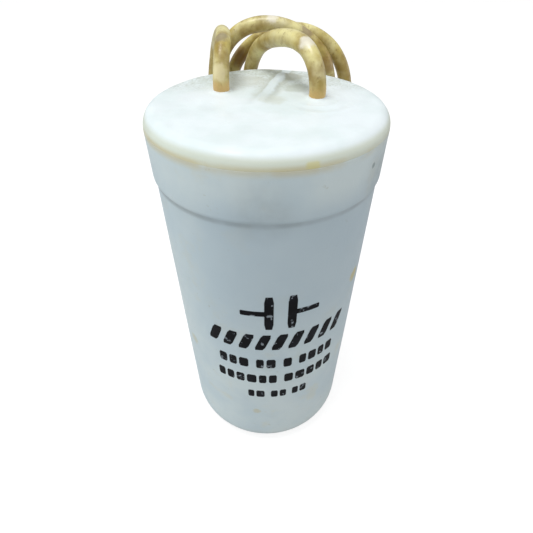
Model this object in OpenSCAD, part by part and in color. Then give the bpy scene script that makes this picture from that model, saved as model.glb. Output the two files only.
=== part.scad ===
// Round motor run capacitor: a wound film roll potted in an open-mouthed
// moulded can, with two insulated leads that come out of the cast top.
// Millimetres, +Z up. The origin is the centre of the can's base.

/* [Can] */
// Height of the moulded can, from its base to its rim
can_h = 51.5; // [46:0.5:58]
// Outside diameter of the can below its collar
can_d = 25.7; // [25:0.1:30]
// How far the collar stands out from the body, on the radius
collar_out = 0.25; // [0.1:0.05:0.5]
// Height of the collar, from the rim down to its step
collar_h = 5; // [3:0.5:8]
// Height over which the collar steps in to the body
step_h = 1; // [0.5:0.1:2]
// Thickness of the can's side wall
wall = 1; // [0.7:0.05:1.3]
// Thickness of the can's base
floor_t = 1.2; // [0.8:0.1:2]
// Outside radius of the can's bottom edge
base_round = 3.8; // [2:0.1:4.5]

/* [Cast top] */
// Height of the cast resin over the can's rim
cast_h = 1.5; // [1:0.1:2]
// Width of the can's rim left bare outside the resin
rim_lip = 0.05; // [0.05:0.05:0.4]
// Height of the run of resin left by the pour
run_h = 0.3; // [0.1:0.05:0.5]
// Radius of the run's rounded back
run_r = 1.5; // [1:0.1:2]
// Length of the run of resin
run_len = 12.5; // [8:0.5:15]
// Depth of resin over the winding
cover = 10; // [9:0.5:14]

/* [Winding] */
// Space left under the winding for the lower joint
under = 2.8; // [2.4:0.1:4]
// Clearance at each side of the lead that passes the winding
side_gap = 0.15; // [0.1:0.05:0.4]
// Thickness of the wrap round the winding
wrap_t = 0.2; // [0.1:0.05:0.5]
// Thickness of the sprayed metal on each end
spray_t = 0.5; // [0.3:0.05:1]
// Outside radius of the tube that the film is wound on
core_r = 2.6; // [2:0.1:3]
// Wall of the tube that the film is wound on
core_wall = 0.8; // [0.5:0.05:1.2]

/* [Leads] */
// Diameter of the insulated leads
lead_d = 1.8; // [1.4:0.1:2.2]
// Diameter of the stranded wire in them
wire_d = 1; // [0.6:0.1:1.2]
// Distance of the left lead's exit to the left of the axis
left_x = 5; // [4:0.1:6]
// Distance of the left lead's exit behind the axis
left_y = 2.8; // [0:0.1:4]
// Distance of the right lead's exit to the right of the axis
right_x = 5.4; // [4:0.1:6]
// Distance of the right lead's exit behind the axis
right_y = 0.6; // [0:0.1:4]
// Depth at which the right lead starts to turn to the side
right_depth = 1.6; // [1:0.1:3]
// Bend radius of the right lead where it jogs past the winding
jog_bend = 2.2; // [1.5:0.1:2.4]
// Bare wire left between each lead's insulation and the bend at its joint
strip_gap = 1.3; // [0.5:0.1:3]
// Length of bare wire at each free end
tip_len = 8; // [4:0.5:9]

/* [Joints] */
// Gap between a soldered wire and the sprayed end
wire_gap = 0.2; // [0.1:0.05:0.4]
// Radius of the bend in the bare wire at each joint
wire_bend = 1.5; // [1.2:0.1:2]
// Radius of the solder bead's ball
bead_r = 2.2; // [1.9:0.1:2.4]
// Height of the solder bead over the sprayed end
bead_h = 1.6; // [1.4:0.1:1.9]
// Length of wire past the middle of each bead
wire_past = 1; // [0.4:0.1:1.4]

/* [Hidden] */
$fn = 96;

// The least radius of an inside corner, and how far a cut runs past a face
least_round = 0.2;
cut_past = 1;
ease = 0.01;

// Radii and heights that follow from the sizes above
can_r = can_d / 2;
collar_r = can_r + collar_out;
bore_r = can_r - wall;
bore_round = max(base_round - wall, least_round);
cast_r = collar_r - rim_lip;
top_z = can_h + cast_h;
step_top_z = can_h - collar_h;
step_foot_z = step_top_z - step_h;
step_bands = 8;

lead_r = lead_d / 2;
wire_r = wire_d / 2;

side_r = bore_r - side_gap - lead_r;
side_x = sqrt(pow(side_r, 2) - pow(right_y, 2));
roll_r = bore_r - lead_d - 2 * side_gap;
core_bore_r = core_r - core_wall;
stack_z = floor_t + under;
stack_top_z = top_z - cover;
stack_h = stack_top_z - stack_z;
roll_z = stack_z + spray_t;
roll_h = stack_h - 2 * spray_t;

jog_z = top_z - right_depth - jog_bend;
jog_len = side_x - right_x - 2 * jog_bend;
side_top_z = jog_z - jog_bend;

top_wire_z = stack_top_z + wire_gap + wire_r;
low_wire_z = stack_z - wire_gap - wire_r;
// Each bead sits half-way across the face of the roll
bead_at = (core_r + roll_r) / 2;
left_strip_z = top_wire_z + wire_bend + strip_gap;
side_foot_z = low_wire_z + wire_bend + strip_gap;
top_bead_y = -sqrt(max(pow(bead_at, 2) - pow(left_x, 2), 0));
low_bead_x = sqrt(pow(bead_at, 2) - pow(right_y, 2));

// Where the run of resin starts, and the way it heads from +X
run_from = [-1.4, -2.6];
run_turn = 74;

left_exit = [-left_x, left_y, top_z];
right_exit = [right_x, right_y, top_z];

// Routes of the free leads, from where each leaves the resin: back over the
// rim, round one open loop behind the can, and down to the free end.
left_route = [
    [0, 0, 0], [0, 0, 0.8], [0.1, 0.5, 2.6], [0.2, 1.8, 3.9], [0.2, 3.6, 4.4],
    [0, 5.8, 4.4], [-0.4, 8, 4.1], [-1, 10, 2.9], [-1.6, 11.4, 0.9], [-2.1, 12, -1.6],
    [-2.3, 12.1, -4.5], [-2.3, 12.1, -7.8], [-1.6, 12.1, -11.2], [0.4, 12.1, -14.3],
    [3.4, 12.2, -16.4], [7, 12.2, -17.2], [10.6, 12.3, -16.5], [13.8, 12.6, -14.2],
    [15.8, 12.9, -11], [16.5, 13.2, -7.4], [16.4, 13.4, -4], [15.6, 13.8, -1],
    [13.9, 14.1, 1.4], [11.3, 14.2, 3], [8.4, 14.3, 3.5], [5.4, 14.4, 3],
    [2.6, 14.5, 1.5], [0.7, 14.6, -0.7], [-0.1, 14.7, -3.4], [-0.2, 14.7, -7],
    [-0.2, 14.7, -12], [-0.2, 14.7, -18], [-0.2, 14.7, -25], [-0.2, 14.7, -32],
    [-0.2, 14.7, -41],
];
right_route = [
    [0, 0, 0], [0, 0, 1.2], [-0.3, 0.5, 2.8], [-1, 1.7, 4.1], [-1.9, 3.4, 4.6],
    [-2.9, 5.3, 4.6], [-4.1, 7.5, 4.2], [-5.3, 9.6, 3.5], [-6.5, 11.6, 2.2],
    [-7.4, 13.3, 0], [-7.9, 14.2, -2.8], [-8.1, 14.3, -6], [-8.1, 14.3, -9.2],
    [-7.2, 14.3, -12], [-5, 14.3, -14], [-2.3, 14.3, -14.6], [0.4, 14.3, -13.8],
    [2.5, 14.4, -11.5], [3.3, 14.5, -8.4], [3.5, 14.6, -5.3], [3.3, 14.6, -2.3],
    [2.5, 14.6, 0.2], [0.9, 14.5, 2.1], [-1.4, 14.4, 3.6], [-4, 14.4, 4.4],
    [-6.6, 14.5, 4.4], [-8.9, 14.7, 3.6], [-10.7, 15.2, 1.9], [-11.8, 15.8, -0.5],
    [-12.4, 16.2, -3.4], [-12.7, 16.5, -7], [-12.7, 16.6, -12], [-12.7, 16.6, -19],
    [-12.7, 16.6, -26], [-12.7, 16.6, -34], [-12.7, 16.6, -43],
];
cord_sides = 8;

// A tube along a route: a frame is carried from point to point without twist
function unit(v) = v / norm(v);
function last(r) = r[len(r) - 1];
function heading(r, i) = unit(r[min(i + 1, len(r) - 1)] - r[max(i - 1, 0)]);
function square_to(v, t) = unit(v - (v * t) * t);
function carried(r, i) =
    square_to(i == 0 ? [1, 0, 0] : carried(r, i - 1), heading(r, i));
function ring(r, i, radius) =
    let (t = heading(r, i), a = carried(r, i), b = cross(t, a))
    [for (k = [0:cord_sides - 1])
        let (turn = 360 * k / cord_sides)
        r[i] + radius * (a * cos(turn) + b * sin(turn))];

module tube_along(r, radius) {
    n = len(r);
    s = cord_sides;
    points = [for (i = [0:n - 1]) each ring(r, i, radius)];
    sides = [for (i = [0:n - 2], k = [0:s - 1])
        let (m = (k + 1) % s)
        each [
            [i * s + k, (i + 1) * s + k, (i + 1) * s + m],
            [i * s + k, (i + 1) * s + m, i * s + m],
        ]];
    first_cap = [for (k = [0:s - 1]) k];
    end_cap = [for (k = [s - 1:-1:0]) (n - 1) * s + k];
    polyhedron(points, concat([first_cap], sides, [end_cap]));
}

// A bend in the XZ plane about the origin, from one angle through another,
// both measured from +X towards +Z
module bend(radius, bend_radius, from, angle) {
    rotate([90, 0, 0])
        rotate([0, 0, from])
            rotate_extrude(angle = angle)
                translate([bend_radius, 0]) circle(radius);
}

module ring_wall(outer, inner, z, h) {
    translate([0, 0, z]) difference() {
        cylinder(r = outer, h = h);
        translate([0, 0, -ease]) cylinder(r = inner, h = h + 2 * ease);
    }
}

// Half section of an upright block with a rounded bottom edge
module block_section(r, z, round_r, top) {
    translate([0, z]) square([r - round_r, top - z]);
    translate([0, z + round_r]) square([r, top - z - round_r]);
    translate([r - round_r, z + round_r]) circle(round_r);
}

// Half section of the collar, with its soft step down to the body
module collar_section() {
    step = [for (i = [0:step_bands])
        let (t = i / step_bands)
        [can_r + collar_out * (1 - cos(180 * t)) / 2, step_foot_z + step_h * t]];
    polygon(concat([[0, step_foot_z]], step, [[collar_r, can_h], [0, can_h]]));
}

// Half section of the cast top: it laps over the rim with a rounded edge
module cast_section() {
    translate([0, can_h]) square([cast_r - cast_h, cast_h]);
    intersection() {
        translate([cast_r - cast_h, can_h]) circle(cast_h);
        translate([0, can_h]) square([cast_r, cast_h]);
    }
}

// The run of resin across the top, a low rounded ridge with round ends
module pour_run() {
    translate([run_from[0], run_from[1], top_z + run_h - run_r])
        rotate([0, 0, run_turn]) {
            rotate([0, 90, 0]) cylinder(r = run_r, h = run_len);
            sphere(run_r);
            translate([run_len, 0, 0]) sphere(run_r);
        }
}

// The left lead in the resin: straight down to a height
module left_drop(radius, foot_z, above = 0) {
    translate([-left_x, left_y, foot_z])
        cylinder(r = radius, h = top_z + above - foot_z);
}

// The right lead in the resin: down, sideways past the winding, and down again
module right_drop(radius, foot_z, above = 0) {
    translate([0, right_y, 0]) {
        translate([right_x, 0, jog_z + jog_bend])
            cylinder(r = radius, h = right_depth + above);
        translate([right_x + jog_bend, 0, jog_z + jog_bend])
            bend(radius, jog_bend, 180, 90);
        translate([right_x + jog_bend, 0, jog_z])
            rotate([0, 90, 0]) cylinder(r = radius, h = jog_len);
        translate([side_x - jog_bend, 0, side_top_z]) bend(radius, jog_bend, 0, 90);
        translate([side_x, 0, foot_z]) cylinder(r = radius, h = side_top_z - foot_z);
    }
}

// The foot of a bare wire: it turns from upright towards -X and runs level
module wire_foot(reach) {
    translate([-wire_bend, 0, wire_bend]) bend(wire_r, wire_bend, -90, 90);
    translate([-wire_bend, 0, 0]) rotate([0, -90, 0]) cylinder(r = wire_r, h = reach);
}

// A bead of solder: the cap of a ball that stands bead_h out of a face
module bead() {
    intersection() {
        translate([0, 0, bead_h - bead_r]) sphere(bead_r);
        translate([-bead_r, -bead_r, 0]) cube([2 * bead_r, 2 * bead_r, bead_r]);
    }
}

module top_bead() {
    translate([-left_x, top_bead_y, stack_top_z]) bead();
}

module low_bead() {
    translate([low_bead_x, right_y, stack_z]) mirror([0, 0, 1]) bead();
}

module left_wire() {
    left_drop(wire_r, top_wire_z + wire_bend);
    translate([-left_x, left_y, top_wire_z])
        rotate([0, 0, 90])
            wire_foot(left_y - wire_bend - top_bead_y + wire_past);
}

module right_wire() {
    right_drop(wire_r, low_wire_z + wire_bend);
    translate([side_x, right_y, low_wire_z])
        wire_foot(side_x - wire_bend - low_bead_x + wire_past);
}

// The moulded cup: straight body, soft-stepped collar and rounded bottom edge
module can() {
    color([0.78, 0.82, 0.84])
        difference() {
            rotate_extrude() {
                block_section(can_r, 0, base_round, can_h);
                collar_section();
            }
            rotate_extrude() block_section(bore_r, floor_t, bore_round, can_h + ease);
        }
}

// The cast filling: it takes the form of all that it is poured round
module potting_resin() {
    color([0.93, 0.96, 0.94])
        difference() {
            union() {
                rotate_extrude() {
                    block_section(bore_r, floor_t, bore_round, can_h);
                    cast_section();
                }
                pour_run();
            }
            ring_wall(roll_r, core_bore_r, stack_z, stack_h);
            left_drop(lead_r, left_strip_z, cut_past);
            right_drop(lead_r, side_foot_z, cut_past);
            left_wire();
            right_wire();
            top_bead();
            low_bead();
        }
}

// The roll of metallised film
module film_winding() {
    color([0.72, 0.72, 0.7])
        ring_wall(roll_r - wrap_t, core_r, roll_z, roll_h);
}

// The tube that the film is wound on
module winding_core() {
    color([0.85, 0.83, 0.76])
        ring_wall(core_r, core_bore_r, stack_z, stack_h);
}

// The clear wrap that holds the roll
module outer_wrap() {
    color([0.86, 0.87, 0.8])
        ring_wall(roll_r, roll_r - wrap_t, roll_z, roll_h);
}

// Zinc sprayed on the roll's ends, which joins all its turns
module end_spray_top() {
    color([0.55, 0.56, 0.57])
        ring_wall(roll_r, core_r, stack_top_z - spray_t, spray_t);
}

module end_spray_bottom() {
    color([0.55, 0.56, 0.57])
        ring_wall(roll_r, core_r, stack_z, spray_t);
}

module solder_top() {
    color([0.74, 0.75, 0.76])
        difference() {
            top_bead();
            left_wire();
        }
}

module solder_bottom() {
    color([0.74, 0.75, 0.76])
        difference() {
            low_bead();
            right_wire();
        }
}

module wire_left() {
    color([0.8, 0.72, 0.62]) left_wire();
}

module wire_right() {
    color([0.8, 0.72, 0.62]) right_wire();
}

// The stretch of each lead's insulation that the resin holds
module lead_root_left() {
    color([0.76, 0.66, 0.44])
        difference() {
            left_drop(lead_r, left_strip_z);
            left_drop(wire_r, left_strip_z - ease, ease);
        }
}

module lead_root_right() {
    color([0.76, 0.66, 0.44])
        difference() {
            right_drop(lead_r, side_foot_z);
            right_drop(wire_r, side_foot_z - ease, ease);
        }
}

module lead_left() {
    color([0.78, 0.69, 0.48])
        translate(left_exit) tube_along(left_route, lead_r);
}

module lead_right() {
    color([0.78, 0.69, 0.48])
        translate(right_exit) tube_along(right_route, lead_r);
}

// The stripped end of each lead
module lead_tip(exit, route) {
    color([0.75, 0.74, 0.72])
        translate(exit + last(route) - [0, 0, tip_len])
            cylinder(r = wire_r, h = tip_len);
}

module lead_tip_left() {
    lead_tip(left_exit, left_route);
}

module lead_tip_right() {
    lead_tip(right_exit, right_route);
}

can();
potting_resin();
film_winding();
winding_core();
outer_wrap();
end_spray_top();
end_spray_bottom();
solder_top();
solder_bottom();
wire_left();
wire_right();
lead_root_left();
lead_root_right();
lead_left();
lead_right();
lead_tip_left();
lead_tip_right();
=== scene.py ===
"""Looks of the round motor run capacitor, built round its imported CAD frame.

Everything is in metres, in the frame's own axes. The frame gives the main sizes.
The others are named here in millimetres, and MM turns them into metres. Places and
sizes of the marks on the surfaces stay in millimetres, as their comments say.
"""

import math
import random

import bpy
import numpy as np
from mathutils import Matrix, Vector, noise


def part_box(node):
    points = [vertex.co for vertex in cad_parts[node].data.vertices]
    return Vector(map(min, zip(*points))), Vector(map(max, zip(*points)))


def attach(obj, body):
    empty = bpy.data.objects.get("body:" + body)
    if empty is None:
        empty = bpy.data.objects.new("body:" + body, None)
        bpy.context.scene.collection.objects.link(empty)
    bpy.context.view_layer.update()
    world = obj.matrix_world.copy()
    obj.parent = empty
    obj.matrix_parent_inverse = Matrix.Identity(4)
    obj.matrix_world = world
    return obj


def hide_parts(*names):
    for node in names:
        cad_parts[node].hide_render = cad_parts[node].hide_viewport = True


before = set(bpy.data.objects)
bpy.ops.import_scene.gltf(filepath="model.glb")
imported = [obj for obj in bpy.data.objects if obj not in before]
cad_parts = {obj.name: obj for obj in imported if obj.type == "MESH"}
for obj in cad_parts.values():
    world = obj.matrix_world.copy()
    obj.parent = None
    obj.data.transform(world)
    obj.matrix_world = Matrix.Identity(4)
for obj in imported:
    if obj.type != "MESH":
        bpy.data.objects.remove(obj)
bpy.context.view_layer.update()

MM = 0.001
SEED = 7

# Sizes that the frame gives
CAN_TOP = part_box("can")[1][2]
COLLAR_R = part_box("can")[1][0]
ROLL_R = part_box("outer_wrap")[1][0]
STACK_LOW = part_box("winding_core")[0][2]
STACK_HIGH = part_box("winding_core")[1][2]
CORE_WALL = 0.8 * MM
CORE_BORE_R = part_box("winding_core")[1][0] - CORE_WALL

# The can's section
COLLAR_OUT = 0.25 * MM
COLLAR_H = 5 * MM
STEP_H = 0.8 * MM
WALL = 1 * MM
FLOOR_T = 1.2 * MM
BASE_ROUND = 3.8 * MM
RIM_ROUND = 0.08 * MM
BODY_R = COLLAR_R - COLLAR_OUT
BORE_R = BODY_R - WALL
STEP_TOP = CAN_TOP - COLLAR_H
STEP_FOOT = STEP_TOP - STEP_H

# The cast top
CAST_H = 1.5 * MM
CAST_R = COLLAR_R - 0.02 * MM
TOP_Z = CAN_TOP + CAST_H

# The leads. Each route is in millimetres from the lead's exit.
LEAD_D = 1.8 * MM
WIRE_D = 1 * MM
LEFT_EXIT = (-5 * MM, 2.8 * MM, TOP_Z)
RIGHT_EXIT = (5.4 * MM, 0.6 * MM, TOP_Z)
LEFT_ROUTE = [
    (0, 0, 0), (0, 0, 0.8), (0.1, 0.5, 2.6), (0.2, 1.8, 3.9), (0.2, 3.6, 4.4),
    (0, 5.8, 4.4), (-0.4, 8, 4.1), (-1, 10, 2.9), (-1.6, 11.4, 0.9), (-2.1, 12, -1.6),
    (-2.3, 12.1, -4.5), (-2.3, 12.1, -7.8), (-1.6, 12.1, -11.2), (0.4, 12.1, -14.3),
    (3.4, 12.2, -16.4), (7, 12.2, -17.2), (10.6, 12.3, -16.5), (13.8, 12.6, -14.2),
    (15.8, 12.9, -11), (16.5, 13.2, -7.4), (16.4, 13.4, -4), (15.6, 13.8, -1),
    (13.9, 14.1, 1.4), (11.3, 14.2, 3), (8.4, 14.3, 3.5), (5.4, 14.4, 3),
    (2.6, 14.5, 1.5), (0.7, 14.6, -0.7), (-0.1, 14.7, -3.4), (-0.2, 14.7, -7),
    (-0.2, 14.7, -12), (-0.2, 14.7, -18), (-0.2, 14.7, -25), (-0.2, 14.7, -32),
    (-0.2, 14.7, -41),
]
RIGHT_ROUTE = [
    (0, 0, 0), (0, 0, 1.2), (-0.3, 0.5, 2.8), (-1, 1.7, 4.1), (-1.9, 3.4, 4.6),
    (-2.9, 5.3, 4.6), (-4.1, 7.5, 4.2), (-5.3, 9.6, 3.5), (-6.5, 11.6, 2.2),
    (-7.4, 13.3, 0), (-7.9, 14.2, -2.8), (-8.1, 14.3, -6), (-8.1, 14.3, -9.2),
    (-7.2, 14.3, -12), (-5, 14.3, -14), (-2.3, 14.3, -14.6), (0.4, 14.3, -13.8),
    (2.5, 14.4, -11.5), (3.3, 14.5, -8.4), (3.5, 14.6, -5.3), (3.3, 14.6, -2.3),
    (2.5, 14.6, 0.2), (0.9, 14.5, 2.1), (-1.4, 14.4, 3.6), (-4, 14.4, 4.4),
    (-6.6, 14.5, 4.4), (-8.9, 14.7, 3.6), (-10.7, 15.2, 1.9), (-11.8, 15.8, -0.5),
    (-12.4, 16.2, -3.4), (-12.7, 16.5, -7), (-12.7, 16.6, -12), (-12.7, 16.6, -19),
    (-12.7, 16.6, -26), (-12.7, 16.6, -34), (-12.7, 16.6, -43),
]
RING_STEP = 0.3 * MM

# The stripped ends: their length, and how many turns their strands make
TIP_LEN = 8 * MM
STRAND_TURNS = 2.2

# The run of resin across the cast top, in millimetres: its ends, height and half width
RUN_FROM = (-1.4, -2.6)
RUN_TO = (2.05, 9.4)
RUN_H = 0.32
RUN_HALF = 0.7

# Print: how far the block is turned from the front, and how thick the ink is
PRINT_TURN = math.radians(7.5)
PRINT_PROUD = 0.02 * MM

# Segments round the turned meshes
CAN_SEGMENTS = 192
CAST_SEGMENTS = 288
HOLLOW_SEGMENTS = 96


# ---------------------------------------------------------------- camera

def add_camera():
    """The camera looks down on the front of the can from close by."""
    back, up, pitch = 42 * MM, 66.6 * MM, math.radians(42.3)
    sensor, focal_share, low_share = 36, 0.711, 0.01
    data = bpy.data.cameras.new("camera")
    data.sensor_width = sensor
    data.lens = sensor * focal_share
    data.shift_y = low_share
    data.clip_start = 1 * MM
    data.clip_end = 10
    camera = bpy.data.objects.new("camera", data)
    camera.location = (0, -back, up)
    camera.rotation_euler = (math.pi / 2 - pitch, 0, 0)
    bpy.context.collection.objects.link(camera)
    bpy.context.scene.camera = camera


# ---------------------------------------------------------------- mesh tools

def mesh_object(name, verts, faces, sharp=40):
    """A smooth mesh that keeps edges of more than so many degrees sharp."""
    mesh = bpy.data.meshes.new(name)
    mesh.from_pydata([tuple(v) for v in verts], [], faces)
    mesh.update()
    mesh.polygons.foreach_set("use_smooth", [True] * len(mesh.polygons))
    mesh.set_sharp_from_angle(angle=math.radians(sharp))
    obj = bpy.data.objects.new(name, mesh)
    bpy.context.collection.objects.link(obj)
    return obj


def arc(centre, radius, start, end, steps):
    """Points (r, z) on an arc, with angles in degrees from the +r direction."""
    turns = np.radians(np.linspace(start, end, steps + 1))
    return [(centre[0] + radius * math.cos(t), centre[1] + radius * math.sin(t)) for t in turns]


def line(start, end, steps):
    """Points from start up to, and not at, end."""
    return [tuple(np.add(start, np.subtract(end, start) * i / steps)) for i in range(steps)]


def lathe(profile, segments, moved=None):
    """Vertices and faces of a profile of (r, z) turned about Z. Both its ends lie on the axis."""
    turns = [math.tau * k / segments for k in range(segments)]
    verts = [(0, 0, profile[0][1])]
    for r, z in profile[1:-1]:
        for t in turns:
            p = (r, t, z) if moved is None else moved(r, t, z)
            verts.append((p[0] * math.sin(p[1]), -p[0] * math.cos(p[1]), p[2]))
    verts.append((0, 0, profile[-1][1]))
    rows, faces = len(profile) - 2, []
    last = len(verts) - 1
    for k in range(segments):
        after = (k + 1) % segments
        faces.append((0, 1 + after, 1 + k))
        base = 1 + (rows - 1) * segments
        faces.append((last, base + k, base + after))
        for i in range(rows - 1):
            a, b = 1 + i * segments, 1 + (i + 1) * segments
            faces.append((a + k, a + after, b + after, b + k))
    return verts, faces


def ring_lathe(loop, segments):
    """Vertices and faces of a closed loop of (r, z) turned about Z."""
    turns = [math.tau * k / segments for k in range(segments)]
    verts = [(r * math.sin(t), -r * math.cos(t), z) for t in turns for r, z in loop]
    faces, n = [], len(loop)
    for k in range(segments):
        a, b = k * n, (k + 1) % segments * n
        faces += [(a + i, b + i, b + (i + 1) % n, a + (i + 1) % n) for i in range(n)]
    return verts, faces


def joined(parts):
    """One list of vertices and faces from several."""
    verts, faces = [], []
    for v, f in parts:
        faces += [tuple(i + len(verts) for i in face) for face in f]
        verts += list(v)
    return verts, faces


def smooth_path(route, exit, step):
    """A smooth curve through the route's points, as evenly spaced points in metres."""
    # One more point past each end, so that the curve also runs through the end points
    p = np.array(route, float) * MM + np.array(exit)
    p = np.vstack([2 * p[0] - p[1], p, 2 * p[-1] - p[-2]])
    points_between = 24
    fine = []
    for a, b, c, d in zip(p, p[1:], p[2:], p[3:]):
        for t in np.linspace(0, 1, points_between, endpoint=False):
            fine.append(
                0.5 * (2 * b + (c - a) * t + (2 * a - 5 * b + 4 * c - d) * t**2
                       + (3 * b - a - 3 * c + d) * t**3)
            )
    fine = np.array(fine + [p[-2]])
    along = np.r_[0, np.cumsum(np.linalg.norm(np.diff(fine, axis=0), axis=1))]
    marks = np.linspace(0, along[-1], int(round(along[-1] / step)) + 1)
    return np.c_[[np.interp(marks, along, fine[:, k]) for k in range(3)]].T


def sweep(path, radii, sides):
    """A closed tube along a path, with one radius for each of its points."""
    ahead = np.gradient(path, axis=0)
    ahead /= np.linalg.norm(ahead, axis=1)[:, None]
    side = np.array([1.0, 0, 0])
    verts, faces, n = [], [], len(path)
    for point, t, radius in zip(path, ahead, radii):
        side = side - side.dot(t) * t
        side /= np.linalg.norm(side)
        other = np.cross(t, side)
        for k in range(sides):
            turn = math.tau * k / sides
            verts.append(point + radius * (math.cos(turn) * side + math.sin(turn) * other))
    for i in range(n - 1):
        for k in range(sides):
            m = (k + 1) % sides
            faces.append((i * sides + k, i * sides + m, (i + 1) * sides + m, (i + 1) * sides + k))
    faces.append(tuple(range(sides))[::-1])
    faces.append(tuple((n - 1) * sides + k for k in range(sides)))
    return verts, faces


# ---------------------------------------------------------------- leads

def lead(name, route, exit, node, tip, seed):
    """An insulated lead: a tube of real thickness, a little uneven, as old soft plastic is."""
    path = smooth_path(route, exit, RING_STEP)
    swell, patch, sides = 0.018, 3 * MM, 24
    shift = Vector((seed, 0, 0))
    radii = [LEAD_D / 2 * (1 + swell * noise.noise(Vector(p) / patch + shift)) for p in path]
    obj = mesh_object(name, *sweep(path, radii, sides), sharp=60)
    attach(obj, "root")
    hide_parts(node)
    strands = lead_tip(tip + "_strands", path[-1], tip)
    return obj


def lead_tip(name, top, node):
    """The stripped end: six strands laid round a seventh, tinned together."""
    outer, rings, sides = 6, 34, 10
    tucked, tinned, worn = 0.2 * MM, 1.06, 0.8
    strand_r = WIRE_D / 2 / 3
    drops = np.linspace(tucked, -TIP_LEN, rings)
    parts = []
    for k in range(outer + 1):
        off = 0 if k == outer else WIRE_D / 2 - strand_r
        path = []
        for drop in drops:
            turn = math.tau * (k / outer + STRAND_TURNS * drop / TIP_LEN)
            path.append((top[0] + off * math.cos(turn), top[1] + off * math.sin(turn), top[2] + drop))
        radii = [strand_r * tinned] * (rings - 1) + [strand_r * worn]
        parts.append(sweep(np.array(path), radii, sides))
    obj = mesh_object(name, *joined(parts), sharp=60)
    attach(obj, "root")
    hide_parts(node)
    return obj


# ---------------------------------------------------------------- can

def can_wave(turn, z):
    """How far the moulded wall stands off its true radius, in metres."""
    depth, along, waves = 0.03 * MM, 9 * MM, 1.6
    return depth * noise.noise(Vector((math.sin(turn) * waves, math.cos(turn) * waves, z / along)))


def can_radius(turn, z):
    """The can's outside radius at a place on its straight body."""
    return BODY_R + can_wave(turn, z)


def can_profile():
    """The can's section: base, rounded edge, body, soft step, collar, rim and bore."""
    step = [
        (BODY_R + COLLAR_OUT * (1 - math.cos(math.pi * t)) / 2, STEP_FOOT + STEP_H * t)
        for t in np.linspace(0, 1, 13)
    ]
    ring, short_ring, bore_round = 1 * MM, 0.6 * MM, BASE_ROUND - WALL
    return (
        [(0, 0)]
        + line((ring, 0), (BODY_R - BASE_ROUND, 0), 6)
        + arc((BODY_R - BASE_ROUND, BASE_ROUND), BASE_ROUND, -90, 0, 16)
        + line((BODY_R, BASE_ROUND + ring), (BODY_R, STEP_FOOT), 40)
        + step
        + line((COLLAR_R, STEP_TOP + short_ring), (COLLAR_R, CAN_TOP - RIM_ROUND), 6)
        + arc((COLLAR_R - RIM_ROUND, CAN_TOP - RIM_ROUND), RIM_ROUND, 0, 90, 4)
        + [(BORE_R, CAN_TOP)]
        + line((BORE_R, CAN_TOP - ring), (BORE_R, FLOOR_T + bore_round), 8)
        + arc((BORE_R - bore_round, FLOOR_T + bore_round), bore_round, 0, -90, 8)
        + [(0, FLOOR_T)]
    )


def build_can():
    """The cup, with its wall rippled outside and its base, rim and bore left true."""
    clear, foot = 0.3 * MM, 1 * MM

    def moved(r, turn, z):
        outside = r > BORE_R + clear and foot < z < CAN_TOP - clear
        return (r + can_wave(turn, z) if outside else r, turn, z)

    obj = mesh_object("can_shell", *lathe(can_profile(), CAN_SEGMENTS, moved))
    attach(obj, "root")
    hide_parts("can")
    return obj


# ---------------------------------------------------------------- cast top

def bell(d, half):
    """A smooth rise from 0 to 1 and back, half wide each way."""
    return math.cos(min(abs(d) / half, 1) * math.pi / 2) ** 2


def portion(value, low, high):
    """How far a value has gone from low to high, kept from 0 to 1."""
    return min(max((value - low) / (high - low), 0), 1)


def uneven(along, size, layer):
    """A share that changes along the run of resin, in waves of about size mm."""
    most = 0.35
    return most * noise.noise(Vector((along / size, layer, 0)))


def run_height(x, y):
    """The run of resin, with a lower one along its left side."""
    a, b = Vector(RUN_FROM), Vector(RUN_TO)
    way, length = (b - a).normalized(), (b - a).length
    here = Vector((x, y)) - a
    along, across = here.dot(way), here.x * way.y - here.y * way.x
    across -= uneven(along, 3, 4.2)
    half = RUN_HALF * (1 + uneven(along, 2.2, 9.1))
    ends = portion(along, -0.5, 8.5) * portion(along, length + 0.9, length - 0.5)
    flat_share, slope_share = 0.45, 0.9
    height = RUN_H * bell(max(abs(across) - half * flat_share, 0), half * slope_share)
    side_h, side_off, side_half = 0.12, 1.9, 1.1
    return ends * (height + side_h * bell(across + side_off, side_half))


def exit_height(x, y):
    """The resin drawn up round each lead, and the flow rings in front of the right one."""
    drawn_up = reach = 0.28
    height = 0
    for ex, ey, _ in (LEFT_EXIT, RIGHT_EXIT):
        d = math.hypot(x - ex / MM, y - ey / MM) - LEAD_D / 2 / MM
        height += drawn_up * math.exp(-max(d, 0) / reach)
    ex, ey = RIGHT_EXIT[0] / MM, RIGHT_EXIT[1] / MM
    away = math.hypot(x - ex, y - ey)
    front_right, spread = -0.9, 2
    in_front = bell(math.atan2(y - ey, x - ex) - front_right, spread)
    # Radius, height and half width of each ring
    for ring_r, ring_h, half in ((2.5, 0.1, 0.35), (3.3, -0.1, 0.5), (4.3, 0.07, 0.5)):
        height += ring_h * in_front * bell(away - ring_r, half)
    return height


def face_height(x, y):
    """The broad and the fine unevenness of the whole face, and its crumbs and bubbles."""
    height = 0
    # Size and depth of the waves, and their own layer of the noise
    for size, depth, layer in ((3.1, 0.06, 1.7), (0.9, 0.02, 5.3)):
        height += depth * noise.noise(Vector((x / size, y / size, layer)))
    for bump_x, bump_y, radius, rise in BUMPS:
        height += rise * bell(math.hypot(x - bump_x, y - bump_y), radius)
    return height


def top_relief(x, y):
    """Height of the cast top over its true face, in mm, at a place in mm."""
    return run_height(x, y) + exit_height(x, y) + face_height(x, y)


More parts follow.
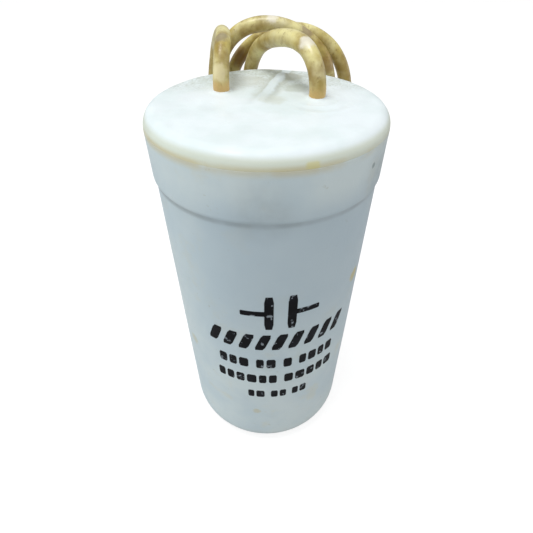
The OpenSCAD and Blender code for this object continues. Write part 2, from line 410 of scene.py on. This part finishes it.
def top_bumps():
    """Small bubbles and crumbs in the cast top: place, radius and height in mm."""
    rng = random.Random(SEED)
    crumbs = [(-1.6, 10.6, 0.45, 0.16), (-0.7, 10.9, 0.35, 0.12), (-2.6, 10.2, 0.4, 0.1)]
    bubbles, spread = 26, 10.8
    for _ in range(bubbles):
        turn, r = rng.uniform(0, math.tau), spread * math.sqrt(rng.random())
        crumbs.append((r * math.sin(turn), r * math.cos(turn), rng.uniform(0.12, 0.3),
                       rng.uniform(-0.05, 0.05)))
    return crumbs


BUMPS = top_bumps()


def edge_lap(turn):
    """How far the cast edge bulges over the can's rim, as a share of its height."""
    most, waves, layer = 0.1, 1.7, 3.3
    return most * noise.noise(Vector((math.sin(turn) * waves, math.cos(turn) * waves, layer)))


def build_cast():
    """The casting: a relief on top, a rounded edge over the rim, and the plug in the can."""
    flat_r = CAST_R - CAST_H
    bore_round = BASE_ROUND - WALL
    first_r, ring_count, bulge = 0.08 * MM, 84, 0.35
    rings = [(r, TOP_Z) for r in np.linspace(first_r, flat_r, ring_count)]
    profile = (
        [(0, TOP_Z)]
        + rings
        + arc((flat_r, CAN_TOP), CAST_H, 90, 0, 14)[1:]
        + [(BORE_R, CAN_TOP)]
        + line((BORE_R, CAN_TOP - 1 * MM), (BORE_R, FLOOR_T + bore_round), 4)
        + arc((BORE_R - bore_round, FLOOR_T + bore_round), bore_round, 0, -90, 8)
        + [(0, FLOOR_T)]
    )

    def moved(r, turn, z):
        x, y = r * math.sin(turn) / MM, -r * math.cos(turn) / MM
        over, inside = portion(z, CAN_TOP, TOP_Z), portion(r, CAST_R, flat_r)
        lift = top_relief(x, y) * MM * over * inside
        out = CAST_H * edge_lap(turn) * math.sin(math.pi * over) * (1 - inside) if over else 0
        return (r + out * bulge, turn, z + lift)

    skin = lathe(profile[::-1], CAST_SEGMENTS, moved)
    hollow = ring_lathe([(ROLL_R, STACK_HIGH), (ROLL_R, STACK_LOW),
                         (CORE_BORE_R, STACK_LOW), (CORE_BORE_R, STACK_HIGH)], HOLLOW_SEGMENTS)
    obj = mesh_object("cast_body", *joined([skin, hollow]))
    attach(obj, "root")
    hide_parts("potting_resin")
    return obj


# ---------------------------------------------------------------- print

def mark(across, up, width, height, lean=0):
    """A thin rounded bar of ink on the can. Sizes in mm, from the middle of the block."""
    rows, fewest_cols, col_w, corner_share = 7, 5, 0.3, 0.14
    cols = max(fewest_cols, int(width / col_w))
    corner = min(height, width) * corner_share
    sheets = []
    for lift in (PRINT_PROUD, -2 * PRINT_PROUD):
        points = []
        for i in range(rows):
            v = height * (i / (rows - 1) - 0.5)
            rounded = max(abs(v) - (height / 2 - corner), 0)
            half = width / 2 - corner + math.sqrt(max(corner**2 - rounded**2, 0))
            for j in range(cols):
                u = half * (2 * j / (cols - 1) - 1)
                s, z = across + u + lean * v, up + v
                turn = PRINT_TURN + s * MM / BODY_R
                r = can_radius(turn, z * MM) + lift
                points.append((r * math.sin(turn), -r * math.cos(turn), z * MM))
        sheets.append(points)
    front = [
        (i * cols + j, i * cols + j + 1, (i + 1) * cols + j + 1, (i + 1) * cols + j)
        for i in range(rows - 1) for j in range(cols - 1)
    ]
    n = rows * cols
    back = [tuple(k + n for k in face[::-1]) for face in front]
    rim = (
        [j for j in range(cols)]
        + [i * cols + cols - 1 for i in range(1, rows)]
        + [(rows - 1) * cols + j for j in range(cols - 2, -1, -1)]
        + [i * cols for i in range(rows - 2, 0, -1)]
    )
    sides = [(b, a, a + n, b + n) for a, b in zip(rim, rim[1:] + rim[:1])]
    return sheets[0] + sheets[1], front + back + sides


def block_row(up, height, words, width, rng):
    """A row of small blocks, centred on the print. Each word is its number of blocks."""
    gap, space, narrowest, widest = 0.28 * width, 0.85 * width, 0.8, 1.15
    runs = [[width * rng.uniform(narrowest, widest) for _ in range(count)] for count in words]
    total = sum(sum(run) + gap * (len(run) - 1) for run in runs) + space * (len(runs) - 1)
    start, blocks = -total / 2, []
    for run in runs:
        for wide in run:
            blocks.append(mark(start + wide / 2, up, wide, height))
            start += wide + gap
        start += space - gap
    return blocks


# The rows of blocks: height of the row's middle and of its blocks, the words, and a block's width
BLOCK_ROWS = [
    (23.4, 1.9, [3, 2, 1, 4], 1.25),
    (19.7, 1.9, [6, 5], 1.25),
    (15.8, 1.7, [2, 2, 2], 1.1),
]


def build_print():
    """A two-plate capacitor sign, a band of stripes and rows of blocks, in place of lettering."""
    plate_gap, plate_h, plate_w, stem, stem_h, lap, up = 1.7, 5.6, 1.1, 3, 0.8, 0.1, 33.4
    rng = random.Random(SEED)
    parts = []
    for side in (-1, 1):
        parts.append(mark(side * (plate_gap + plate_w) / 2, up, plate_w, plate_h))
        parts.append(mark(side * (plate_gap / 2 + plate_w + stem / 2 - lap), up, stem, stem_h))
    stripes, pitch, stripe_w, stripe_h, lean, up = 9, 2.15, 1.3, 3, 0.35, 28
    for k in range(stripes):
        parts.append(mark((k - (stripes - 1) / 2) * pitch, up, stripe_w, stripe_h, lean))
    for up, height, words, width in BLOCK_ROWS:
        parts += block_row(up, height, words, width, rng)
    obj = mesh_object("print_marks", *joined(parts), sharp=60)
    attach(obj, "root")
    return obj


# ---------------------------------------------------------------- materials

def linear(r, g, b):
    """A colour written as 0 to 255 on screen, as the shader's linear values."""
    def one(v):
        v /= 255
        return v / 12.92 if v <= 0.04045 else ((v + 0.055) / 1.055) ** 2.4
    return (one(r), one(g), one(b), 1)


# Sockets of a Mix node that mixes colours
MIX_SHARE, MIX_A, MIX_B, MIX_RESULT = 0, 6, 7, 2

# In the looks, sizes and places are in mm, and shares go from 0 to 1.


class Look:
    """A material with a Principled shader, and short calls that add its nodes."""

    def __init__(self, name, rough, metal=0.0, specular=0.5, coat=0.0, coat_rough=0.2):
        self.mat = bpy.data.materials.new(name)
        self.mat.use_nodes = True
        self.tree = self.mat.node_tree
        self.shader = self.tree.nodes["Principled BSDF"]
        self.shader.inputs["Roughness"].default_value = rough
        self.shader.inputs["Metallic"].default_value = metal
        self.shader.inputs["Specular IOR Level"].default_value = specular
        self.shader.inputs["Coat Weight"].default_value = coat
        self.shader.inputs["Coat Roughness"].default_value = coat_rough
        place = self.add("ShaderNodeTexCoord").outputs["Object"]
        scale = self.add("ShaderNodeVectorMath", {0: place}, operation="SCALE")
        scale.inputs["Scale"].default_value = 1 / MM
        self.mm = scale.outputs[0]

    def add(self, kind, inputs=None, **settings):
        """A node of one kind, with its inputs given as numbers or as sockets to link."""
        node = self.tree.nodes.new(kind)
        for key, value in settings.items():
            setattr(node, key, value)
        for key, value in (inputs or {}).items():
            if isinstance(value, bpy.types.NodeSocket):
                self.tree.links.new(value, node.inputs[key])
            else:
                node.inputs[key].default_value = value
        return node

    def grain(self, size, detail=3, rough=0.55, warp=0.0, stretch=None, seed=0.0):
        """Soft noise whose blotches are about size mm across."""
        at = self.mm
        if stretch or seed:
            at = self.add("ShaderNodeMapping", {
                "Vector": at, "Location": (seed, seed * 1.7, seed * 0.6),
                "Scale": stretch or (1, 1, 1)}).outputs[0]
        return self.add("ShaderNodeTexNoise", {
            "Vector": at, "Scale": 1 / size, "Detail": detail, "Roughness": rough,
            "Distortion": warp}).outputs["Fac"]

    def part(self, axis):
        """One coordinate of the place, in mm."""
        node = self.add("ShaderNodeSeparateXYZ", {0: self.mm})
        return node.outputs[axis]

    def ease(self, value, low, high, to_low=0.0, to_high=1.0):
        """A smooth step from low to high."""
        return self.add("ShaderNodeMapRange", {
            "Value": value, "From Min": low, "From Max": high, "To Min": to_low,
            "To Max": to_high}, interpolation_type="SMOOTHSTEP").outputs["Result"]

    def sums(self, operation, a, b):
        """One step of arithmetic on two values."""
        return self.add("ShaderNodeMath", {0: a, 1: b}, operation=operation).outputs[0]

    def mix(self, share, a, b):
        """The colour a with a share of b over it."""
        node = self.add("ShaderNodeMix", data_type="RGBA")
        for key, value in ((MIX_SHARE, share), (MIX_A, a), (MIX_B, b)):
            if isinstance(value, bpy.types.NodeSocket):
                self.tree.links.new(value, node.inputs[key])
            else:
                node.inputs[key].default_value = value
        return node.outputs[MIX_RESULT]

    def away(self, centre):
        """The distance from a place, both in mm."""
        node = self.add("ShaderNodeVectorMath", {0: self.mm, 1: centre}, operation="DISTANCE")
        return node.outputs["Value"]

    def near(self, centre, radius, soft=0.5):
        """1 at a place in mm, falling softly to 0 at about radius, with a ragged edge."""
        away, most_push, end = self.away(centre), 0.8, 1.4
        ragged = self.grain(radius * 0.6, 3, 0.6, seed=centre[0] + 3)
        push = self.sums("MULTIPLY", ragged, radius * most_push)
        d = self.sums("ADD", away, push)
        return self.ease(d, radius * (end - soft), radius * end, 1.0, 0.0)

    def soft_spots(self, tint, stains, strength):
        """The colour tint with soft spots over it, stains and, on the leads, painted highlights and
        painted shadows: each a centre and radius in mm and a shade.
        """
        for centre, radius, shade in stains:
            share = self.sums("MULTIPLY", self.near(centre, radius), strength)
            tint = self.mix(share, tint, linear(*shade))
        return tint

    def colour(self, socket):
        """Link a colour to the shader."""
        self.tree.links.new(socket, self.shader.inputs["Base Color"])

    def roughness(self, socket):
        """Link a roughness to the shader."""
        self.tree.links.new(socket, self.shader.inputs["Roughness"])

    def bump(self, height, strength, depth):
        """Bump from a height of 0 to 1, depth in mm."""
        node = self.add("ShaderNodeBump", {
            "Height": height, "Strength": strength, "Distance": depth * MM})
        self.tree.links.new(node.outputs[0], self.shader.inputs["Normal"])


# Heights of the can and the cast top in mm, and stains on them: centre, radius and shade. The leads'
# list also holds painted highlights and painted shadows.
RIM_MM, TOP_MM = CAN_TOP / MM, TOP_Z / MM
FOOT_MM, STEP_MM = STEP_FOOT / MM, STEP_TOP / MM
CAN_STAINS = [
    ((11.0, -6.6, 34.1), 1.3, (205, 190, 120)),
    ((10.3, -8.0, 49.6), 0.4, (120, 138, 140)),
    ((-1.5, -12.8, 10.5), 0.8, (203, 202, 178)),
    ((-10.5, -7.4, 22.0), 1.2, (206, 208, 188)),
]
CAST_STAINS = [
    ((-2.4, 6.8, TOP_MM), 3.0, (217, 224, 219)),
    ((3.0, 8.6, TOP_MM), 1.9, (186, 189, 176)),
    ((-5, 2.8, TOP_MM), 1.2, (206, 190, 150)),
    ((5.4, 0.6, TOP_MM), 1.1, (214, 202, 170)),
    ((3.4, 4.2, TOP_MM), 2.0, (190, 198, 186)),
    ((0.6, 0.2, TOP_MM), 1.8, (215, 222, 212)),
]
LEAD_STAINS_HIGHLIGHTS_AND_SHADE = [
    # Painted highlight: a glint on the right lead's front bend
    ((4.2, 2.4, 57.8), 1.1, (244, 240, 226)),
    ((-4.9, 4.8, 58.2), 1.1, (146, 132, 108)),
    # Painted highlight on the crest of the outer loop
    ((3.4, 17.2, 57.4), 1.2, (240, 234, 210)),
    # Painted highlight: a pale streak down the front of the left lead
    ((-5, 1.8, 55.2), 1.3, (230, 216, 170)),
    ((5.3, 1.4, 56.2), 0.9, (158, 124, 70)),
    # Painted highlight on the top of the back loop
    ((0.7, 14.6, 58.2), 0.9, (244, 238, 222)),
    ((5, 14.6, 56.6), 1.1, (150, 128, 100)),
    # Painted shadow in the gap between the loops, low at the left
    ((-3.4, 17.3, 53), 2.1, (116, 80, 34)),
    # Painted shadow in the gap between the right loops
    ((7.9, 15.2, 53), 1.7, (158, 120, 56)),
]


def seam_share(look):
    """How ochre the seam is round the can: strongest at the front left, broken elsewhere."""
    patch = look.ease(look.grain(4.5, 3, 0.6, seed=8), 0.36, 0.62, 0.12, 0.8)
    left = look.near((-9.5, -9, RIM_MM + 0.1), 7)
    front = look.near((2.5, -12.8, RIM_MM + 0.1), 3.2)
    return look.sums("MAXIMUM", patch, look.sums("MAXIMUM", left, front))


def can_zones(look, tint):
    """The tone by place: warmer at the foot, and painted shade up the front to the collar, greyer and
    bluer, fading towards the back.
    """
    low = look.ease(look.part("Z"), 0.2, 5, 0.4, 0)
    tint = look.mix(low, tint, linear(205, 205, 190))
    # Painted shade: the front wall greyer and bluer below the collar, weaker on the left and fading
    # towards the back
    painted_front_shade = look.sums("MULTIPLY", look.ease(look.part("Z"), 14, 38, 0, 0.75),
                       look.ease(look.part("Z"), STEP_MM + 3, FOOT_MM - 0.1))
    painted_front_shade = look.sums("MULTIPLY", painted_front_shade, look.ease(look.part("X"), -11, -2, 0.3, 1))
    painted_front_shade = look.sums("MULTIPLY", painted_front_shade, look.ease(look.part("Y"), -4, 5, 1, 0.2))
    return look.mix(painted_front_shade, tint, linear(184, 201, 211))


def can_collar(look, tint):
    """The painted shadow line under the collar, grey clouds on the collar, the right one painted
    shade at its edge, and the ochre seam at its rim.
    """
    # Painted shadow: a dark line at the foot of the collar's step, where the step shades the wall
    # below it
    step_shadow_band = look.sums("MULTIPLY", look.ease(look.part("Z"), FOOT_MM - 0.4, FOOT_MM + 0.05),
                      look.ease(look.part("Z"), STEP_MM - 0.2, FOOT_MM + 0.25))
    line = look.sums("MULTIPLY", step_shadow_band, look.ease(look.grain(6, 3, seed=14), 0.3, 0.6, 0.12, 0.4))
    tint = look.mix(line, tint, linear(128, 136, 138))
    # Grey clouds on the collar: the front one darkens the collar just above the step; the right one
    # is painted shade at the collar's right edge
    clouds = [((-0.3, -13, 47.2), 0.55), ((11.6, -6.4, 48.3), 0.8)]
    for centre, most in clouds:
        away = look.away(centre)
        cloud = look.sums("MULTIPLY", look.ease(away, 0.5, 4.5, most, 0), look.grain(1.8, 3, seed=17))
        tint = look.mix(cloud, tint, linear(150, 162, 166))
    rim = look.ease(look.part("Z"), RIM_MM - 0.9, RIM_MM - 0.05)
    seam = look.sums("MULTIPLY", rim, seam_share(look))
    return look.mix(look.sums("MULTIPLY", seam, 0.6), tint, linear(206, 194, 150))


def can_look():
    """Satin moulded plastic: bluish white, mottled, with a few old stains."""
    look = Look("can_plastic", 0.42, specular=0.22)
    tint = look.mix(look.ease(look.grain(9, 4), 0.35, 0.65),
                    linear(203, 219, 225), linear(214, 227, 229))
    warm = look.ease(look.grain(5, 4, 0.6, seed=11), 0.56, 0.72, 0, 0.35)
    tint = look.mix(warm, tint, linear(216, 216, 196))
    speck = look.ease(look.grain(0.8, 2, 0.5, seed=5), 0.70, 0.78, 0, 0.5)
    tint = look.mix(speck, tint, linear(184, 190, 178))
    tint = look.soft_spots(can_zones(look, tint), CAN_STAINS, 0.7)
    look.colour(can_collar(look, tint))
    look.roughness(look.ease(look.grain(2.5, 3, seed=9), 0.3, 0.7, 0.38, 0.52))
    fine = look.sums("ADD", look.grain(0.35, 3, 0.6), look.sums("MULTIPLY", look.grain(4, 3), 2.5))
    look.bump(fine, 0.25, 0.05)
    return look.mat


def cast_dirt(look, tint):
    """Grey blotches and pepper on the half behind the leads."""
    behind = look.ease(look.part("Y"), 1.0, 9.5)
    blotch = look.ease(look.grain(1.5, 5, 0.65, seed=4), 0.35, 0.62)
    dirt = look.sums("MULTIPLY", behind, look.sums("MULTIPLY", blotch, 0.75))
    tint = look.mix(dirt, tint, linear(204, 213, 206))
    peppered = look.sums("MULTIPLY", look.ease(look.part("Y"), 2.0, 6.0),
                         look.ease(look.grain(0.32, 4, 0.7, seed=21), 0.46, 0.68, 0, 0.5))
    return look.mix(peppered, tint, linear(170, 176, 158))


def run_places(look):
    """Places by the run of resin, in mm: how far along it, and how far off it with a ragged edge."""
    turn = math.atan2(RUN_TO[1] - RUN_FROM[1], RUN_TO[0] - RUN_FROM[0])
    way = look.add("ShaderNodeMapping", {
        "Vector": look.mm, "Location": (*RUN_FROM, 0), "Rotation": (0, 0, turn)},
        vector_type="TEXTURE")
    way = look.add("ShaderNodeSeparateXYZ", {0: way.outputs[0]})
    off = look.sums("ADD", look.sums("ABSOLUTE", way.outputs["Y"], 0),
                    look.sums("MULTIPLY", look.grain(1.2, 3, seed=12), 0.8))
    return way.outputs["X"], off


def cast_edge(look, tint):
    """The greenish edge, its side darker as painted shade, the ochre seam at its foot and one yellow
    drop at the front.
    """
    # Greenish band on the edge's side face: partly the resin's tint, partly painted shade where the
    # side faces away from the light above
    edge = look.ease(look.part("Z"), TOP_MM - 0.25, TOP_MM - 0.8)
    tint = look.mix(look.sums("MULTIPLY", edge, 0.8), tint, linear(214, 221, 203))
    low = look.ease(look.part("Z"), RIM_MM + 0.6, RIM_MM + 0.05)
    foot = look.sums("MULTIPLY", low, seam_share(look))
    tint = look.mix(look.sums("MULTIPLY", foot, 0.65), tint, linear(212, 200, 152))
    drop = look.sums("MULTIPLY", look.near((4.0, -12.5, RIM_MM + 0.3), 0.9),
                     look.ease(look.part("Z"), RIM_MM + 0.75, RIM_MM + 0.45, 0, 0.7))
    return look.mix(drop, tint, linear(220, 214, 150))


def cast_look():
    """Cast resin: near white, greyed by dirt behind the leads, greenish and darker at its edge,
    partly painted shade.
    """
    look = Look("cast_resin", 0.4, specular=0.35)
    tint = look.mix(look.ease(look.grain(6, 4, seed=1), 0.35, 0.65),
                    linear(239, 248, 251), linear(230, 242, 243))
    tint = cast_dirt(look, tint)
    along, off = run_places(look)
    shade = look.sums("MULTIPLY", look.ease(off, 2.2, 1.0), look.ease(along, 1, 5))
    tint = look.mix(look.sums("MULTIPLY", shade, 0.5), tint, linear(176, 182, 166))
    tint = look.soft_spots(tint, CAST_STAINS, 0.6)
    crest = look.sums("MULTIPLY", look.ease(off, 1.15, 0.8), look.ease(along, 1, 7))
    tint = look.mix(look.sums("MULTIPLY", crest, 0.75), tint, linear(234, 247, 253))
    look.colour(cast_edge(look, tint))
    look.roughness(look.ease(look.grain(1.8, 4, seed=6), 0.3, 0.7, 0.32, 0.55))
    look.bump(look.grain(0.5, 5, 0.65), 0.3, 0.08)
    return look.mat


def lead_look():
    """Old soft plastic insulation: cream gone tan and mottled, with painted shade on its sides and
    undersides, painted highlights on its crests and painted shadows between its loops.
    """
    look = Look("lead_insulation", 0.36, coat=0.3, coat_rough=0.2)
    tint = look.mix(look.ease(look.grain(3.2, 3, 0.5, warp=0.3), 0.36, 0.62),
                    linear(240, 231, 166), linear(206, 188, 102))
    dark = look.ease(look.grain(2.6, 4, 0.55, seed=7), 0.4, 0.7, 0, 0.8)
    tint = look.mix(dark, tint, linear(144, 114, 34))
    pale = look.ease(look.grain(2.8, 3, 0.5, seed=3), 0.5, 0.74, 0, 0.7)
    tint = look.mix(pale, tint, linear(236, 230, 192))
    fleck = look.ease(look.grain(0.5, 3, 0.6, seed=9), 0.56, 0.74, 0, 0.5)
    tint = look.mix(fleck, tint, linear(128, 94, 34))
    # Painted shade: the sides and undersides of the leads tinted darker brown and their tops left
    # pale, by which way the surface faces
    normal = look.add("ShaderNodeTexCoord").outputs["Normal"]
    up = look.add("ShaderNodeSeparateXYZ", {0: normal}).outputs["Z"]
    tint = look.mix(look.ease(up, 0.75, 0, 0, 0.3), tint, linear(134, 98, 28))
    # Stains, painted highlights and painted shadows on the leads
    tint = look.soft_spots(tint, LEAD_STAINS_HIGHLIGHTS_AND_SHADE, 0.75)
    roots = [(tuple(c / MM for c in place), 1.9, (212, 172, 104))
             for place in (LEFT_EXIT, RIGHT_EXIT)]
    look.colour(look.soft_spots(tint, roots, 0.8))
    look.roughness(look.ease(look.grain(0.9, 3, seed=2), 0.3, 0.7, 0.32, 0.52))
    scuff = look.sums("ADD", look.grain(0.25, 4, 0.65), look.grain(1.2, 3))
    look.bump(scuff, 0.35, 0.06)
    return look.mat


def ink_look():
    """Black pad print, thin and worn in places."""
    look = Look("print_ink", 0.5, specular=0.1)
    worn = look.ease(look.grain(1.1, 4, 0.65, seed=1), 0.6, 0.66, 0, 0.85)
    faded = look.ease(look.grain(3, 3, 0.5, seed=6), 0.4, 0.7)
    ink = look.mix(faded, linear(6, 7, 12), linear(22, 24, 31))
    look.colour(look.mix(worn, ink, linear(150, 160, 168)))
    look.bump(look.grain(0.3, 3), 0.15, 0.03)
    return look.mat


def wire_look():
    """Tinned stranded copper, dulled in patches."""
    look = Look("tinned_wire", 0.34, metal=0.6)
    tint = look.mix(look.ease(look.grain(0.7, 3), 0.4, 0.65),
                    linear(218, 216, 211), linear(190, 182, 168))
    look.colour(tint)
    look.roughness(look.ease(look.grain(0.3, 3), 0.3, 0.7, 0.25, 0.5))
    return look.mat


def plain_look(name, shade, dark, rough, metal=0.0, size=1.5):
    """A hidden piece: two close tones, uneven gloss and a fine bump."""
    look = Look(name, rough, metal=metal)
    look.colour(look.mix(look.ease(look.grain(size, 4), 0.35, 0.65), linear(*shade), linear(*dark)))
    look.roughness(look.ease(look.grain(size / 2, 3), 0.3, 0.7, rough - 0.08, rough + 0.1))
    look.bump(look.grain(size / 4, 4), 0.3, 0.05)
    return look.mat


def film_look():
    """The winding: fine rings on its ends, a thin metal sheen."""
    look = Look("metallised_film", 0.3, metal=0.6)
    flat = look.add("ShaderNodeVectorMath", {0: look.mm, 1: (1, 1, 0)}, operation="MULTIPLY")
    rings = look.add("ShaderNodeTexWave", {"Vector": flat.outputs[0], "Scale": 1.6,
                                           "Distortion": 0.4},
                     wave_type="RINGS", rings_direction="Z").outputs["Fac"]
    look.colour(look.mix(rings, linear(176, 178, 180), linear(142, 144, 148)))
    look.bump(rings, 0.2, 0.05)
    return look.mat


def dress(obj, mat):
    """Give a piece its one material."""
    obj.data.materials.clear()
    obj.data.materials.append(mat)


def dress_nodes(wire):
    """Materials for the CAD nodes that stay: the pieces that the resin holds."""
    film, lead_inside = film_look(), lead_look()
    zinc = plain_look("sprayed_zinc", (136, 138, 141), (104, 106, 110), 0.7, 0.5, 0.5)
    solder = plain_look("solder", (196, 198, 200), (150, 152, 156), 0.35, 0.9, 0.8)
    core = plain_look("core_plastic", (222, 216, 198), (206, 200, 180), 0.5)
    wrap = plain_look("wrap_film", (224, 226, 206), (208, 212, 190), 0.25)
    looks = {
        "film_winding": film, "winding_core": core, "outer_wrap": wrap,
        "end_spray_top": zinc, "end_spray_bottom": zinc,
        "solder_top": solder, "solder_bottom": solder, "wire_left": wire, "wire_right": wire,
        "lead_root_left": lead_inside, "lead_root_right": lead_inside,
    }
    for name, mat in looks.items():
        dress(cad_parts[name], mat)


# ---------------------------------------------------------------- stage

def floor_look():
    """A plain white floor: a soft matte surface that lends its own light to the camera."""
    bounced, seen, lent = 0.58, 0.3, 0.81
    mat = bpy.data.materials.new("floor")
    mat.use_nodes = True
    tree = mat.node_tree
    tree.nodes.clear()
    out = tree.nodes.new("ShaderNodeOutputMaterial")
    plain = tree.nodes.new("ShaderNodeBsdfDiffuse")
    plain.inputs["Color"].default_value = (bounced, bounced, bounced, 1)
    shown = tree.nodes.new("ShaderNodeBsdfDiffuse")
    shown.inputs["Color"].default_value = (seen, seen, seen, 1)
    glow = tree.nodes.new("ShaderNodeEmission")
    glow.inputs["Strength"].default_value = lent
    both = tree.nodes.new("ShaderNodeAddShader")
    pick = tree.nodes.new("ShaderNodeMixShader")
    rays = tree.nodes.new("ShaderNodeLightPath")
    tree.links.new(shown.outputs[0], both.inputs[0])
    tree.links.new(glow.outputs[0], both.inputs[1])
    tree.links.new(rays.outputs["Is Camera Ray"], pick.inputs[0])
    tree.links.new(plain.outputs[0], pick.inputs[1])
    tree.links.new(both.outputs[0], pick.inputs[2])
    tree.links.new(pick.outputs[0], out.inputs["Surface"])
    return mat


def add_floor():
    """A wide floor under the can, which is no piece of the part."""
    half = 1.5
    corners = [(-half, -half, 0), (half, -half, 0), (half, half, 0), (-half, half, 0)]
    obj = mesh_object("floor", corners, [(0, 1, 2, 3)])
    dress(obj, floor_look())


def add_world():
    """Even white surroundings: full white where they are seen, softer as light and in mirrors."""
    world = bpy.data.worlds.new("studio")
    bpy.context.scene.world = world
    world.use_nodes = True
    tree = world.node_tree
    back = tree.nodes["Background"]
    rays = tree.nodes.new("ShaderNodeLightPath")
    as_light, mirrored, full = 0.58, 0.35, 1
    rays_and_levels = [
        ("Is Glossy Ray", mirrored), ("Is Transmission Ray", full), ("Is Camera Ray", full)]
    level = as_light
    for ray, strength in rays_and_levels:
        pick = tree.nodes.new("ShaderNodeMix")
        tree.links.new(rays.outputs[ray], pick.inputs["Factor"])
        if isinstance(level, float):
            pick.inputs["A"].default_value = level
        else:
            tree.links.new(level, pick.inputs["A"])
        pick.inputs["B"].default_value = strength
        level = pick.outputs["Result"]
    tree.links.new(level, back.inputs["Strength"])
    back.inputs["Color"].default_value = (1, 1, 1, 1)


def add_lamp(name, at, size, watts, tint=(1, 1, 1)):
    """A square soft lamp that faces the upper part of the can. Places and sizes are in metres."""
    aim_share = 0.7
    data = bpy.data.lights.new(name, "AREA")
    data.size = size
    data.energy = watts
    data.color = tint
    obj = bpy.data.objects.new(name, data)
    obj.location = at
    aim = Vector((0, 0, CAN_TOP * aim_share)) - Vector(at)
    obj.rotation_euler = aim.to_track_quat("-Z", "Y").to_euler()
    bpy.context.collection.objects.link(obj)


def add_lights():
    """A soft lamp overhead, and weaker ones that lift the sides and cool the left."""
    add_lamp("overhead", (-0.08, -0.04, 0.42), 0.16, 0.74)
    add_lamp("left_front", (-0.42, -0.34, 0.22), 0.3, 0.2, (0.84, 0.96, 1))
    add_lamp("left", (-0.5, 0.05, 0.15), 0.3, 0.35, (0.9, 0.98, 1))
    add_lamp("right", (0.5, 0.05, 0.15), 0.3, 0.25)


# ---------------------------------------------------------------- the whole

def main():
    """Build the pieces, give them their looks and set the stage."""
    add_camera()
    leads = [
        lead("left_lead", LEFT_ROUTE, LEFT_EXIT, "lead_left", "lead_tip_left", 0),
        lead("right_lead", RIGHT_ROUTE, RIGHT_EXIT, "lead_right", "lead_tip_right", 20),
    ]
    can, cast, ink = build_can(), build_cast(), build_print()
    insulation, wire = lead_look(), wire_look()
    for obj in leads:
        dress(obj, insulation)
    for name in ("lead_tip_left_strands", "lead_tip_right_strands"):
        dress(bpy.data.objects[name], wire)
    dress(can, can_look())
    dress(cast, cast_look())
    dress(ink, ink_look())
    dress_nodes(wire)
    add_floor()
    add_world()
    add_lights()
    bpy.context.scene.view_settings.view_transform = "Standard"


main()
